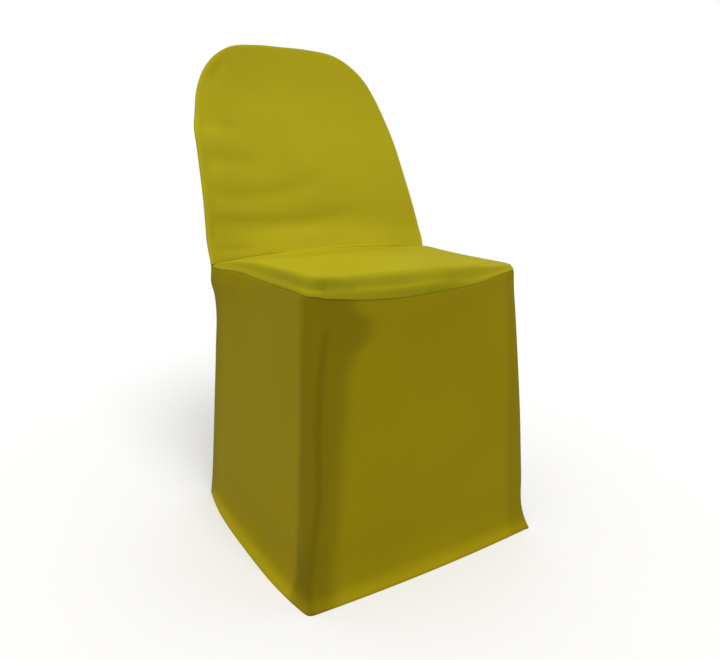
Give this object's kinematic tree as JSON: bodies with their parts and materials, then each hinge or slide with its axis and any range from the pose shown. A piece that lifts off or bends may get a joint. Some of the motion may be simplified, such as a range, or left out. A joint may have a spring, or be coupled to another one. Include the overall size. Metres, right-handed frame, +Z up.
{
  "type": "stretch chair cover",
  "caption": "Fitted stretch cover for a folding chair: arched back pocket, padded-looking flat top over the sitting area and a straight skirt to the floor.",
  "frame": {"origin": "on the floor, under the middle of the cover's bounding box", "axes": "+Z up, -Y towards the front of the chair, +X to the right as seen from the front"},
  "size_m": [0.4632, 0.5439, 0.8701],
  "materials": {
    "knit": "matte"
  },
  "bodies": {
    "root": {"back_front": "knit", "rear_panel": "knit", "seat_top": "knit", "skirt": "knit"}
  },
  "joints": []
}
